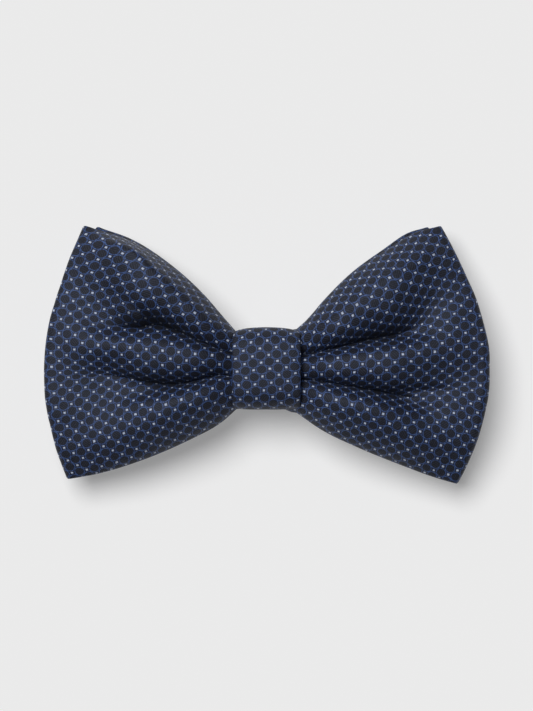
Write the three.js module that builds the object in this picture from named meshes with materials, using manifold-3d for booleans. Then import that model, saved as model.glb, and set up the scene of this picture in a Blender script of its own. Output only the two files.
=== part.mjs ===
// A pre-tied bow tie: a pleated front bow over a plain rear bow, gathered by a knot
// band, on a neckband that is folded flat behind the wings. The neckband has a hook
// and slider on one end and an eye on the other.
// Frame: millimetres. The tie lies face up, +Z out of its front, +Y towards the top
// edge of the wings. The origin is on the resting plane, under the middle of the bow.
import * as THREE from "three";
import Module from "manifold-3d";
import { mergeVertices } from "three/addons/utils/BufferGeometryUtils.js";

// ---- Driving dimensions ----------------------------------------------------------
const KNOT = { y: -3.6, halfWidth: 9, halfHeight: 11, wall: 0.8, back: 8.3, front: 21.9 };
const SILK = 0.3; // wall of a silk tube
const GAP = 0.3; // clearance between touching pieces
const INTERLINING = 0.4;
const STRIP = 2 * SILK + 2 * GAP + INTERLINING; // silk, interlining, silk

// Heights of the middle of each bow's back and front panel where the knot grips them.
// cells is how many cells a panel has from its bottom edge to its top edge.
const REAR_BOW = { back: 12.1, front: 14.3, rise: 0, cells: 8 };
const FRONT_BOW = { back: 16.3, front: 18.5, rise: 2.6, cells: 12 };
// Half height of the gathered cloth under the thread and where it leaves the knot.
const GATHERED = { thread: 7.6, edge: 9.5, threadX: 2.4 };

// Plan of one wing's end: it bulges furthest at bulgeY and falls back as a parabola.
const BULGE_Y = -4;
const LEFT_END = { reach: 60.27, topY: 33.9, lowY: -33.6, topFall: 0.0066, lowFall: 0.0057 };
const RIGHT_END = { reach: 60.27, topY: 33.9, lowY: -34.45, topFall: 0.0082, lowFall: 0.0083 };
const REAR_SETBACK = 3.3; // the rear bow ends this far inside the front one
const REAR_TOP_Y = 34.45;
const REAR_LOW_Y = -31;
// Pulls the top and bottom edge of a wing outwards into a curve.
const EDGE_PULL = { x: -0.09, top: 9, low: 4 };
const DROOP = { corner: 6.6, end: 0.3, flatHalf: 12 }; // wings sink towards their corners

const BAND = { width: 18, thick: 1 };
const FOLD_X = 55.5; // outer creases of the folded neckband
const INNER_FOLD_X = 3.2; // inner creases
const CREASE_GAP = 0.3; // each run stops this short of its crease
// Underside height of each run of the folded neckband.
const RUN_Z = { centre: 9.4, second: 6.95, leftThird: 3.9, rightThird: 5.6, rightEnd: 3.2 };

const BAR_R = 0.5; // radius of every metal bar that a loop of neckband turns on
const BAR_SLACK = 0.35; // clearance between a bar and its loop
const END_LOOP_R = 1.45; // outer radius of a stitched end loop
const TURN_LOOP_R = (RUN_Z.rightEnd + BAND.thick) / 2; // outer radius of the adjuster's turn
const TURN_STUB = 2.2; // how far the adjuster's turn reaches back along both runs
// Metal fittings: half is the half width across the neckband, plate the thickness.
const METAL = { half: 10.9, inside: 9.4 };
const EYE = { barX: -14.5, tipX: -3.5, plate: 1.2, neckHalf: 5.4, holeHalf: 3.9, rim: 1.4 };
const HOOK = { barX: 22, tipX: 5.2, plate: 0.8, neckHalf: 3, prong: 5.5 };
const SLIDER = { barX: 29.5, half: 4.2, rail: 0.9, low: 4.5, high: 5.3 };

// ---- Materials -------------------------------------------------------------------
function material(color, roughness, metalness = 0) {
  return new THREE.MeshStandardMaterial({ color, roughness, metalness });
}
const SILK_NAVY = material(0x222a46, 0.62);
const CANVAS = material(0xd8d2c4, 0.95);
const THREAD = material(0x1a2038, 0.8);
const NICKEL = material(0xb9bbbd, 0.28, 1);

const tie = new THREE.Group();

function add(name, geometry, skin) {
  const mesh = new THREE.Mesh(geometry, skin);
  mesh.name = name;
  tie.add(mesh);
  return mesh;
}

// ---- Shared shapes ---------------------------------------------------------------
// A box from its corners.
function slab(low, high) {
  const size = high.map((value, i) => value - low[i]);
  const middle = high.map((value, i) => (value + low[i]) / 2);
  return new THREE.BoxGeometry(...size).translate(...middle);
}

// A profile drawn in x and z, extruded along y about the knot's centre line.
function alongY(shape, halfWidth, curveSegments = 8) {
  const depth = 2 * halfWidth;
  const body = new THREE.ExtrudeGeometry(shape, { depth, bevelEnabled: false, curveSegments });
  return body.rotateX(Math.PI / 2).translate(0, KNOT.y + halfWidth, 0);
}

function circle(x, z, radius) {
  const path = new THREE.Path();
  path.absarc(x, z, radius, 0, 2 * Math.PI, false);
  return path;
}

// A rectangle in y and z, centred on the knot, with rounded back and front corners.
function roundedRect(target, halfY, low, high, back, front) {
  target.moveTo(halfY - back, low);
  target.absarc(halfY - back, low + back, back, -Math.PI / 2, 0, false);
  target.absarc(halfY - front, high - front, front, 0, Math.PI / 2, false);
  target.absarc(-halfY + front, high - front, front, Math.PI / 2, Math.PI, false);
  target.absarc(-halfY + back, low + back, back, Math.PI, 1.5 * Math.PI, false);
  target.closePath();
  return target;
}

// A profile drawn in y and z, extruded along x.
function alongX(shape, x0, x1, curveSegments = 5) {
  const depth = x1 - x0;
  const body = new THREE.ExtrudeGeometry(shape, { depth, bevelEnabled: false, curveSegments });
  return body.rotateX(Math.PI / 2).rotateZ(Math.PI / 2).translate(x0, KNOT.y, 0);
}

// A band that closes on itself round the x axis.
function bandRound(halfY, low, high, wall, x0, x1, back, front) {
  const outline = roundedRect(new THREE.Shape(), halfY, low, high, back, front);
  const [backIn, frontIn] = [Math.max(back - wall, 0.2), Math.max(front - wall, 0.2)];
  const inside = [halfY - wall, low + wall, high - wall, backIn, frontIn];
  outline.holes.push(roundedRect(new THREE.Path(), ...inside));
  return alongX(outline, x0, x1);
}

// ---- Bows ------------------------------------------------------------------------
const ALONG = 6; // cells from the knot to the end of a wing
const ROUND_END = 3; // cells round the end of a wing

// Plan position of a strip: side is -1 left or 1 right, q runs from the knot (0) to the
// end of the wing (1), v from the bottom edge (-1) to the top edge (1).
function plan(bow, side, q, v) {
  const rear = bow === REAR_BOW;
  const end = side < 0 ? LEFT_END : RIGHT_END;
  const topY = rear ? REAR_TOP_Y : end.topY;
  const lowY = rear ? REAR_LOW_Y : end.lowY;
  const endY = (topY + lowY) / 2 + (v * (topY - lowY)) / 2;
  const fall = endY > BULGE_Y ? end.topFall : end.lowFall;
  const round = (bow.front - bow.back + STRIP) / 2;
  const reach = end.reach - round - (rear ? REAR_SETBACK : 0);
  const endX = reach - fall * (endY - BULGE_Y) ** 2;
  const startY = KNOT.y + v * GATHERED.edge;
  const pull = (v > 0 ? EDGE_PULL.top : EDGE_PULL.low) * v * Math.abs(v);
  const middle = {
    x: (KNOT.halfWidth + endX) / 2 + EDGE_PULL.x * Math.abs(v) * endX,
    y: (startY + endY) / 2 + pull,
  };
  const [a, b, c] = [(1 - q) ** 2, 2 * q * (1 - q), q ** 2];
  return {
    x: side * (a * KNOT.halfWidth + b * middle.x + c * endX),
    y: a * startY + b * middle.y + c * endY,
  };
}

// How far a wing has sunk at a plan position.
function droop(x, y, q) {
  const off = Math.max(0, Math.abs(y - KNOT.y) - DROOP.flatHalf) / 22;
  return q * q * DROOP.end + DROOP.corner * Math.min(1, off) ** 1.5 * q;
}

// Three soft ridges that leave the knot and fade out along the wing.
function ridges(bow, q, v) {
  return bow.rise * Math.sin(Math.PI * Math.min(1, q * 1.25)) * Math.cos(1.5 * Math.PI * v) ** 2;
}

// Middle of a bow's strip. It starts behind the knot, runs round the right wing, over
// the front, round the left wing and back. Returns one row of points for each station.
function stations(bow) {
  const half = (bow.front - bow.back) / 2;
  const middle = (bow.front + bow.back) / 2;
  const list = [];
  const panel = (side, q, face) => list.push((v) => {
    const at = plan(bow, side, q, v);
    const lift = face > 0 ? ridges(bow, q, v) : 0;
    return new THREE.Vector3(at.x, at.y, middle + face * half + lift - droop(at.x, at.y, q));
  });
  const gripped = (x, face) => list.push((v) =>
    new THREE.Vector3(x, KNOT.y + v * GATHERED.thread, middle + face * half));
  const roundEnd = (side, step) => list.push((v) => {
    const at = plan(bow, side, 1, v);
    const turn = (step / ROUND_END) * Math.PI - Math.PI / 2;
    const out = side * half * Math.cos(turn);
    return new THREE.Vector3(at.x + out, at.y, middle + half * Math.sin(turn) - droop(at.x, at.y, 1));
  });
  gripped(GAP, -1);
  gripped(GATHERED.threadX, -1);
  for (let i = 0; i < ALONG; i++) panel(1, i / ALONG, -1);
  for (let i = 0; i <= ROUND_END; i++) roundEnd(1, i);
  for (let i = ALONG - 1; i >= 0; i--) panel(1, i / ALONG, 1);
  gripped(GATHERED.threadX, 1);
  gripped(-GATHERED.threadX, 1);
  for (let i = 0; i < ALONG; i++) panel(-1, i / ALONG, 1);
  for (let i = ROUND_END; i >= 0; i--) roundEnd(-1, i);
  for (let i = ALONG - 1; i >= 0; i--) panel(-1, i / ALONG, -1);
  gripped(-GATHERED.threadX, -1);
  gripped(-GAP, -1);
  return list;
}

// One ring of points round a strip's section at a station. inset narrows it at both
// edges and thick is its full thickness.
function sectionRing(list, cells, station, inset, thick) {
  const before = list[Math.max(0, station - 1)];
  const after = list[Math.min(list.length - 1, station + 1)];
  const here = list[station];
  const edge = 1 - inset / here(1).distanceTo(here(0));
  const point = (i, sign) => {
    const v = Math.max(-edge, Math.min(edge, (2 * i) / cells - 1));
    const run = after(v).sub(before(v)).normalize();
    const across = here(v + 0.01).sub(here(v - 0.01)).normalize();
    const normal = new THREE.Vector3().crossVectors(across, run).normalize();
    return here(v).addScaledVector(normal, (sign * thick) / 2);
  };
  const ring = [];
  for (let i = 0; i <= cells; i++) ring.push(point(i, -1));
  for (let i = cells; i >= 0; i--) ring.push(point(i, 1));
  return ring;
}

// Joins rings of points into one closed mesh. With inner rings it is a tube, open at
// both ends; without, it is solid.
function skinned(outer, inner) {
  const points = [];
  const faces = [];
  const count = outer[0].length;
  const quad = (a, b, c, d) => faces.push(a, b, c, a, c, d);
  const side = (rings, flip) => {
    const base = points.length;
    rings.flat().forEach((p) => points.push(p));
    for (let s = 0; s + 1 < rings.length; s++) {
      for (let i = 0; i < count; i++) {
        const [a, b] = [base + s * count + i, base + s * count + ((i + 1) % count)];
        if (flip) quad(b, b + count, a + count, a);
        else quad(b, a, a + count, b + count);
      }
    }
    return [base, base + (rings.length - 1) * count];
  };
  const [first, last] = side(outer, false);
  if (inner) {
    const [innerFirst, innerLast] = side(inner, true);
    for (let i = 0; i < count; i++) {
      const j = (i + 1) % count;
      quad(first + i, first + j, innerFirst + j, innerFirst + i);
      quad(last + j, last + i, innerLast + i, innerLast + j);
    }
  } else {
    for (let i = 0; i < count / 2 - 1; i++) {
      const [j, k] = [count - 2 - i, count - 1 - i];
      quad(first + i, first + i + 1, first + j, first + k);
      quad(last + i + 1, last + i, last + k, last + j);
    }
  }
  const geometry = new THREE.BufferGeometry();
  geometry.setAttribute("position", new THREE.Float32BufferAttribute(points.flatMap((p) => [p.x, p.y, p.z]), 3));
  geometry.setIndex(faces);
  geometry.computeVertexNormals();
  return geometry;
}

function addBow(bow, name) {
  const list = stations(bow);
  const rings = (inset, thick) => list.map((_, s) => sectionRing(list, bow.cells, s, inset, thick));
  const hollow = STRIP - 2 * SILK;
  add(name + "_silk", skinned(rings(0, STRIP), rings(0.9, hollow)), SILK_NAVY);
  add(name + "_interlining", skinned(rings(1.6, INTERLINING), null), CANVAS);
}

addBow(REAR_BOW, "rear_bow");
addBow(FRONT_BOW, "front_bow");

// ---- Knot ------------------------------------------------------------------------
const { halfWidth: KW, halfHeight: KH } = KNOT;
add("knot_wrap", bandRound(KH, KNOT.back, KNOT.front, KNOT.wall, -KW, KW, 1.6, 4), SILK_NAVY);

// Thread wound round the gathered bows, under the knot.
const gather = { halfY: 8.8, low: 10.7, high: 19.9, wall: 0.3, halfX: 2 };
const gatherBand = [gather.halfY, gather.low, gather.high, gather.wall];
add("gather_thread", bandRound(...gatherBand, -gather.halfX, gather.halfX, 0.6, 1.5), THREAD);

// A strip of padding under the knot's front.
const PADDING = { halfX: 8.4, halfY: 7.2, low: 20.15, high: 20.8 };
const paddingLow = [-PADDING.halfX, KNOT.y - PADDING.halfY, PADDING.low];
add("knot_padding", slab(paddingLow, [PADDING.halfX, KNOT.y + PADDING.halfY, PADDING.high]), CANVAS);

// Rows of stitches that hold folded cloth. One closes the knot band at the back.
const TACK = { thick: 0.3, wide: 0.5, clear: 0.02 };
function stitches(x, z, halfY) {
  const low = [x - TACK.wide / 2, KNOT.y - halfY, z];
  return slab(low, [x + TACK.wide / 2, KNOT.y + halfY, z + TACK.thick]);
}

add("knot_tack", stitches(0, KNOT.back - TACK.thick - TACK.clear, 7.5), THREAD);

// ---- Neckband --------------------------------------------------------------------
const BAND_LOW = KNOT.y - BAND.width / 2;
const BAND_HIGH = KNOT.y + BAND.width / 2;

function run(x0, x1, z) {
  return slab([x0, BAND_LOW, z], [x1, BAND_HIGH, z + BAND.thick]);
}

const outerEnd = FOLD_X - CREASE_GAP;
const innerEnd = INNER_FOLD_X + CREASE_GAP;
add("neckband_centre", run(-outerEnd, outerEnd, RUN_Z.centre), SILK_NAVY);
add("left_band_second_run", run(-outerEnd, -innerEnd, RUN_Z.second), SILK_NAVY);
add("left_band_third_run", run(-outerEnd, -innerEnd, RUN_Z.leftThird), SILK_NAVY);
add("right_band_second_run", run(innerEnd, outerEnd, RUN_Z.second), SILK_NAVY);
add("right_band_third_run", run(innerEnd, outerEnd, RUN_Z.rightThird), SILK_NAVY);

// A run on the resting plane that ends in a stitched loop round a bar. The loop is at
// the run's right end.
function loopedRun(barX, farX) {
  const shape = new THREE.Shape();
  const lean = Math.acos((END_LOOP_R - BAND.thick) / END_LOOP_R);
  shape.moveTo(farX, 0);
  shape.lineTo(barX, 0);
  shape.absarc(barX, END_LOOP_R, END_LOOP_R, -Math.PI / 2, 1.5 * Math.PI - lean, false);
  shape.lineTo(farX, BAND.thick);
  shape.closePath();
  shape.holes.push(circle(barX, END_LOOP_R, BAR_R + BAR_SLACK));
  return alongY(shape, BAND.width / 2);
}
add("left_band_end_run", loopedRun(EYE.barX, -outerEnd), SILK_NAVY);
const leftTackX = EYE.barX - 2.4;
add("left_loop_bartack", stitches(leftTackX, BAND.thick + TACK.clear, 7.5), THREAD);

// The adjustable end: the last run turns round the hook's bar and comes back to the
// slider, whose middle bar holds its stitched end.
const turnEnd = HOOK.barX + TURN_STUB;
add("right_band_end_run", run(turnEnd + GAP, outerEnd, RUN_Z.rightEnd), SILK_NAVY);

function turnedLoop() {
  const shape = new THREE.Shape();
  shape.moveTo(turnEnd, 0);
  shape.lineTo(HOOK.barX, 0);
  shape.absarc(HOOK.barX, TURN_LOOP_R, TURN_LOOP_R, -Math.PI / 2, Math.PI / 2, true);
  shape.lineTo(turnEnd, 2 * TURN_LOOP_R);
  shape.lineTo(turnEnd, RUN_Z.rightEnd);
  shape.lineTo(HOOK.barX, RUN_Z.rightEnd);
  shape.absarc(HOOK.barX, TURN_LOOP_R, TURN_LOOP_R - BAND.thick, Math.PI / 2, -Math.PI / 2, false);
  shape.lineTo(turnEnd, BAND.thick);
  shape.closePath();
  return alongY(shape, BAND.width / 2);
}
add("adjuster_turned_loop", turnedLoop(), SILK_NAVY);
add("slider_end_loop", loopedRun(SLIDER.barX, turnEnd + GAP), SILK_NAVY);
const sliderTackX = SLIDER.barX - 2.4;
add("slider_loop_bartack", stitches(sliderTackX, BAND.thick + TACK.clear, 7.5), THREAD);

// ---- Metal fittings --------------------------------------------------------------
const wasm = await Module();
wasm.setup();

function toSolid(geometry) {
  const bare = geometry.clone().deleteAttribute("normal").deleteAttribute("uv");
  const welded = mergeVertices(bare, 1e-3);
  const vertProperties = Float32Array.from(welded.attributes.position.array);
  const triVerts = Uint32Array.from(welded.index.array);
  return new wasm.Manifold(new wasm.Mesh({ numProp: 3, vertProperties, triVerts }));
}

function toGeometry(solid) {
  const mesh = solid.getMesh();
  const geometry = new THREE.BufferGeometry();
  geometry.setAttribute("position", new THREE.BufferAttribute(Float32Array.from(mesh.vertProperties), 3));
  geometry.setIndex(Array.from(mesh.triVerts));
  geometry.computeVertexNormals();
  return geometry;
}

function joined(...geometries) {
  return geometries.map(toSolid).reduce((sum, next) => sum.add(next));
}

// A round bar across the neckband.
function bar(x, z) {
  const length = 2 * METAL.inside + 1.2;
  return new THREE.CylinderGeometry(BAR_R, BAR_R, length, 12).translate(x, KNOT.y, z);
}

// A flat plate in plan with two arms that reach back to the bar outside the neckband.
// towards is the direction from the bar to the plate's tip.
function armedPlate(barX, tipX, clear, neckHalf, thick, z) {
  const towards = Math.sign(tipX - barX);
  const at = (out, y) => [barX + towards * out, y];
  const { half, inside } = METAL;
  const length = Math.abs(tipX - barX);
  const shoulder = clear + 1.6;
  const round = Math.min(2, neckHalf / 2);
  const right = [
    at(-BAR_R, half),
    at(shoulder, half),
    at(shoulder + 2.2, neckHalf),
    at(length - round, neckHalf),
    at(length, neckHalf - round),
  ];
  const left = right.map(([x, y]) => [x, -y]).reverse();
  const notch = [at(-BAR_R, -inside), at(clear, -inside), at(clear, inside), at(-BAR_R, inside)];
  const points = [...right, ...left, ...notch].map(([x, y]) => new THREE.Vector2(x, y + KNOT.y));
  const shape = new THREE.Shape(points);
  const plate = new THREE.ExtrudeGeometry(shape, { depth: thick, bevelEnabled: false });
  return plate.translate(0, 0, z - thick / 2);
}

function eye() {
  const { barX, tipX, plate, neckHalf, holeHalf, rim } = EYE;
  const clear = END_LOOP_R + GAP + 0.1;
  const body = armedPlate(barX, tipX, clear, neckHalf, plate, END_LOOP_R);
  const low = [barX + clear + 2.2, KNOT.y - holeHalf, 0];
  const hole = slab(low, [tipX - rim, KNOT.y + holeHalf, 2 * END_LOOP_R]);
  return toGeometry(joined(body, bar(barX, END_LOOP_R)).subtract(toSolid(hole)));
}
add("eye", eye(), NICKEL);

// The hook's shank bends down and comes back under itself as a short prong.
function hook() {
  const { barX, tipX, plate, neckHalf, prong } = HOOK;
  const clear = TURN_LOOP_R + GAP + 0.1;
  const top = TURN_LOOP_R + plate / 2;
  const bend = top / 2;
  const bendX = tipX + bend;
  const flat = armedPlate(barX, bendX, clear, neckHalf, plate, TURN_LOOP_R);
  const shape = new THREE.Shape();
  shape.moveTo(bendX + 2, top);
  shape.lineTo(bendX, top);
  shape.absarc(bendX, bend, bend, Math.PI / 2, 1.5 * Math.PI, false);
  shape.lineTo(bendX + prong, 0);
  shape.lineTo(bendX + prong, plate);
  shape.lineTo(bendX, plate);
  shape.absarc(bendX, bend, bend - plate, 1.5 * Math.PI, Math.PI / 2, true);
  shape.lineTo(bendX + 2, top - plate);
  shape.closePath();
  return toGeometry(joined(flat, bar(barX, TURN_LOOP_R), alongY(shape, neckHalf - 0.5, 5)));
}
add("hook", hook(), NICKEL);

// The slider: a middle bar in the stitched end loop, and two bars above the last run.
function slider() {
  const { barX, half, rail, low, high } = SLIDER;
  const parts = [bar(barX, END_LOOP_R)];
  const [y0, y1] = [KNOT.y - METAL.half, KNOT.y + METAL.half];
  for (const side of [-1, 1]) {
    const x = barX + side * half;
    parts.push(slab([x - rail / 2, y0, low], [x + rail / 2, y1, high]));
    const railY = KNOT.y + (side * (METAL.half + METAL.inside)) / 2;
    const thick = (METAL.half - METAL.inside) / 2;
    parts.push(slab([barX - half, railY - thick, low], [barX + half, railY + thick, high]));
    const web = [[barX - 0.8, railY - thick, END_LOOP_R - BAR_R], [barX + 0.8, railY + thick, high]];
    parts.push(slab(...web));
  }
  return toGeometry(joined(...parts));
}
add("slider", slider(), NICKEL);

export default tie;
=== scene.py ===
import math

import bmesh
import bpy
import numpy as np
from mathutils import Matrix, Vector, noise


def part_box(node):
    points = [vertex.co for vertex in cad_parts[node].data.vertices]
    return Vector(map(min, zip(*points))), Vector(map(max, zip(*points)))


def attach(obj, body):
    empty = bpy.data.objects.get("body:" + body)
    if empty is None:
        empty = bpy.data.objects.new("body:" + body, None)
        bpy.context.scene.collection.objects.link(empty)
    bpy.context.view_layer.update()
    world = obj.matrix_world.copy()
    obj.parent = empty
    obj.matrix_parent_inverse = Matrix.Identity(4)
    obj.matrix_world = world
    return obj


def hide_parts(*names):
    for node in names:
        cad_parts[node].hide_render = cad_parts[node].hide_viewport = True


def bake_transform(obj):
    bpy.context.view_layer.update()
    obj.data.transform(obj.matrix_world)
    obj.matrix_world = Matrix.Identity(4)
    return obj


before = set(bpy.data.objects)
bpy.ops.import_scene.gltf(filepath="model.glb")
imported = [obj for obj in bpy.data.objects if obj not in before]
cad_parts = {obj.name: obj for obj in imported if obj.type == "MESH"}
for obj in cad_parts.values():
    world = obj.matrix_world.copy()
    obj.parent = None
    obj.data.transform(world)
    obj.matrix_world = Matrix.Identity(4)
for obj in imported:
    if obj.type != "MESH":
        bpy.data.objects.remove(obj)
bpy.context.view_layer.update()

bpy.ops.object.select_all(action="DESELECT")
scene = bpy.context.scene
scene.view_settings.view_transform = "Standard"

# All shapes below are worked out in millimetres and written to the meshes in metres.
MM = 0.001
KNOT_Y = -3.6
BAND_HALF = 9.0
CLOTH_HALF = 34.6  # half the flat width of a bow's strip


# ---- Curves ----------------------------------------------------------------------
def through(points):
    """A smooth function of x through (x, y) points, level with its ends outside them."""
    xs = np.array([p[0] for p in points], float)
    ys = np.array([p[1] for p in points], float)
    slope = np.gradient(ys, xs)

    def value(x):
        x = np.clip(np.asarray(x, float), xs[0], xs[-1])
        i = np.clip(np.searchsorted(xs, x, side="right") - 1, 0, len(xs) - 2)
        h = xs[i + 1] - xs[i]
        t = (x - xs[i]) / h
        return (
            ys[i] * (1 + 2 * t) * (1 - t) ** 2
            + slope[i] * h * t * (1 - t) ** 2
            + ys[i + 1] * t * t * (3 - 2 * t)
            + slope[i + 1] * h * t * t * (t - 1)
        )

    return value


def rail(points):
    """A plan curve through points, as functions of the share q of its length."""
    p = np.array(points, float)
    run = np.concatenate([[0], np.cumsum(np.linalg.norm(np.diff(p, axis=0), axis=1))])
    run /= run[-1]
    return through(list(zip(run, p[:, 0]))), through(list(zip(run, p[:, 1])))


def ease(t):
    t = np.clip(t, 0, 1)
    return t * t * (3 - 2 * t)


# ---- Strips of cloth -------------------------------------------------------------
def along_and_across(rows):
    """Unit directions along and across a grid of points."""
    along = np.gradient(rows, axis=0)
    across = np.gradient(rows, axis=1)
    along /= np.maximum(np.linalg.norm(along, axis=2, keepdims=True), 1e-9)
    across /= np.maximum(np.linalg.norm(across, axis=2, keepdims=True), 1e-9)
    return along, across


def face_outward(mesh):
    work = bmesh.new()
    work.from_mesh(mesh)
    bmesh.ops.recalc_face_normals(work, faces=work.faces)
    work.to_mesh(mesh)
    work.free()


def grid_mesh(name, rings, uv, closed_path=False, fold=None):
    """A mesh from rings of points, each ring closed. uv holds one pair for each point,
    and one more at the end of each ring where the ring meets its start."""
    stations, count = rings.shape[:2]
    steps = stations if closed_path else stations - 1
    verts = rings.reshape(-1, 3) * MM
    faces, coords = [], []
    for s in range(steps):
        t = (s + 1) % stations
        for i in range(count):
            j = (i + 1) % count
            faces.append((s * count + i, s * count + j, t * count + j, t * count + i))
            coords += [uv[s, i], uv[s, i + 1], uv[s + 1, i + 1], uv[s + 1, i]]
    if not closed_path:
        faces.append(tuple(range(count - 1, -1, -1)))
        coords += [uv[0, i] for i in range(count - 1, -1, -1)]
        last = (stations - 1) * count
        faces.append(tuple(last + i for i in range(count)))
        coords += [uv[stations - 1, i] for i in range(count)]
    mesh = bpy.data.meshes.new(name)
    mesh.from_pydata(verts.tolist(), [], faces)
    layer = mesh.uv_layers.new(name="cloth")
    layer.data.foreach_set("uv", np.array(coords, np.float32).ravel())
    # The fold depth is kept on the mesh so that the silk can paint shade into the folds.
    if fold is not None:
        fold_shade_attribute = mesh.attributes.new("fold_shade_depth", "FLOAT", "POINT")
        fold_shade_attribute.data.foreach_set("value", np.asarray(fold, np.float32).ravel())
    face_outward(mesh)
    piece = bpy.data.objects.new(name, mesh)
    scene.collection.objects.link(piece)
    mesh.shade_smooth()
    return piece


EDGE_STEPS = 4


def strip(name, rows, half, u, v, fold=None):
    """A strip of cloth with rounded edges. rows is a grid of points on its middle
    surface, half its half thickness at each station, u and v the cloth's own place."""
    along, across = along_and_across(rows)
    normal = np.cross(along, across)
    normal /= np.maximum(np.linalg.norm(normal, axis=2, keepdims=True), 1e-9)
    half = np.broadcast_to(np.asarray(half, float).reshape(-1, 1, 1), (len(rows), 1, 1))
    face = rows + normal * half
    back = rows - normal * half

    def edge(i, outward):
        turned = []
        for k in range(1, EDGE_STEPS):
            a = math.pi * k / EDGE_STEPS
            side = normal[:, i] * math.cos(a) + outward * across[:, i] * math.sin(a)
            turned.append(rows[:, i] + side * half[:, 0])
        return np.stack(turned, axis=1)

    right = edge(rows.shape[1] - 1, 1)
    left = edge(0, -1)[:, ::-1]
    rings = np.concatenate([face, right, back[:, ::-1], left], axis=1)
    u = np.broadcast_to(u, rows.shape[:2])
    v = np.broadcast_to(v, rows.shape[:2])
    wide = np.linspace(0, 1, EDGE_STEPS + 1)[1:-1] * math.pi * float(half.mean())
    ring_u = np.concatenate(
        [u, np.repeat(u[:, -1:], EDGE_STEPS - 1, 1), u[:, ::-1], np.repeat(u[:, :1], EDGE_STEPS - 1, 1)],
        axis=1,
    )
    back_v = 2 * v[:, -1:] + math.pi * float(half.mean()) - v[:, ::-1]
    ring_v = np.concatenate([v, v[:, -1:] + wide, back_v, back_v[:, -1:] + wide], axis=1)
    ring_u = np.concatenate([ring_u, ring_u[:, :1]], axis=1)
    ring_v = np.concatenate([ring_v, ring_v[:, -1:] + wide[0]], axis=1)
    uv = np.stack([ring_u, ring_v], axis=2)
    if fold is not None:
        around = np.zeros(rings.shape[:2])
        around[:, : fold.shape[1]] = fold
        fold = around
    return grid_mesh(name, rings, uv, fold=fold)


# ---- The bows --------------------------------------------------------------------
# Plan curves of each wing, as distance out from the middle and y.
# "ridges" are the crests and valleys of the pleats from the low edge to the top one:
# each has its line, and its height over the panel behind. "dents" are lesser folds.
LEFT = {
    "side": -1,
    "top": [(8.4, 5.7), (12.6, 10.6), (17.2, 15.9), (26, 23.7), (38.8, 31.1), (49.6, 33.8)],
    "low": [(8.4, -14.0), (12.6, -17.7), (21.4, -22.5), (34.4, -28.0), (46.0, -31.5), (54.0, -33.0)],
    "bulge": 8.1,
    "ridges": [
        {
            "line": [
                (8.4, -9.4), (13, -9.8), (18, -11.4), (24, -13), (30, -16),
                (36, -18.6), (42, -21.5), (48, -23.5), (54, -25), (60, -25),
            ],
            "rise": [
                (8.4, 3.6), (13, 5.0), (18, 5.9), (24, 6.2), (30, 5.6),
                (36, 4.4), (42, 3.4), (48, 2.7), (54, 2.0), (60, 1.3),
            ],
        },
        {
            "line": [
                (8.4, -5.4), (13, -4.9), (18, -6.4), (24, -7.7), (30, -7.4),
                (36, -6.2), (42, -5.2), (48, -5.8), (60, -6.4),
            ],
            "rise": [
                (8.4, 0.1), (13, 0.1), (18, 0.2), (24, 0.2), (30, 0.2),
                (36, 0.3), (42, 0.6), (48, 1.0), (54, 1.4), (60, 1.2),
            ],
        },
        {
            "line": [
                (8.4, -2.6), (13, -0.9), (18, 0.3), (24, 0.6), (30, 1.2),
                (36, 2.0), (42, 3.0), (48, 3.4), (54, 5.0), (60, 5.5),
            ],
            "rise": [
                (8.4, 3.6), (13, 5.0), (18, 5.9), (24, 6.3), (30, 6.4),
                (36, 6.2), (42, 5.6), (48, 4.6), (54, 3.4), (60, 1.5),
            ],
        },
        {
            "line": [
                (8.4, 0.4), (13, 1.8), (18, 3.8), (24, 6.6), (30, 8.2),
                (36, 7.4), (42, 8.2), (48, 9.4), (54, 13), (60, 14),
            ],
            "rise": [
                (8.4, 0.1), (13, 0.1), (18, 0.1), (24, 0.3), (30, 0.7),
                (36, 1.5), (42, 1.9), (48, 2.0), (54, 2.0), (60, 1.3),
            ],
        },
        {
            "line": [
                (8.4, 3.4), (13, 6.0), (18, 10.4), (24, 16.5), (30, 22),
                (36, 27.6), (42, 30), (48, 31.5), (60, 32),
            ],
            "rise": [
                (8.4, 3.6), (13, 5.0), (18, 6.2), (24, 7.2), (30, 8.4),
                (36, 9.2), (42, 9.0), (48, 7.2), (54, 4.2), (60, 1.8),
            ],
        },
    ],
    "dents": [
        {
            "line": [(20, 7.5), (27, 9.5), (32, 11.6), (38, 15.5), (46, 20)],
            "depth": [(20, 0), (26, 0.5), (31, 0.8), (37, 0.5), (46, 0)],
            "up": 3.0,
            "down": 3.4,
        },
        {
            "line": [(14, -6.0), (23.6, -6.0), (33, -5.8), (44, -5.0)],
            "depth": [(18, 0), (26, 0.6), (34, 0.5), (44, 0)],
            "up": 2.4,
            "down": 2.4,
        },
        {
            "line": [(24, -9.5), (33, -10.6), (42, -12.4)],
            "depth": [(24, 0), (32, 0.9), (38, 0.6), (46, 0)],
            "up": 2.6,
            "down": 3.0,
        },
    ],
    "lean": 0.5,
    "crests": [
        [(9.4, -9.8), (21, -13.9), (32, -17.6), (43, -21.0), (51, -23.0), (60, -24.6)],
        [(9.4, -2.6), (22.4, -1.2), (32, -0.2), (43, 0.8), (52.4, 1.8), (60, 2.7)],
        [(9.4, 5.0), (17, 10.0), (24.3, 14.5), (32, 18.6), (38.7, 21.6), (46, 24.2), (54, 26.8)],
    ],
    "spread": (48, -2),
}
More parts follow.
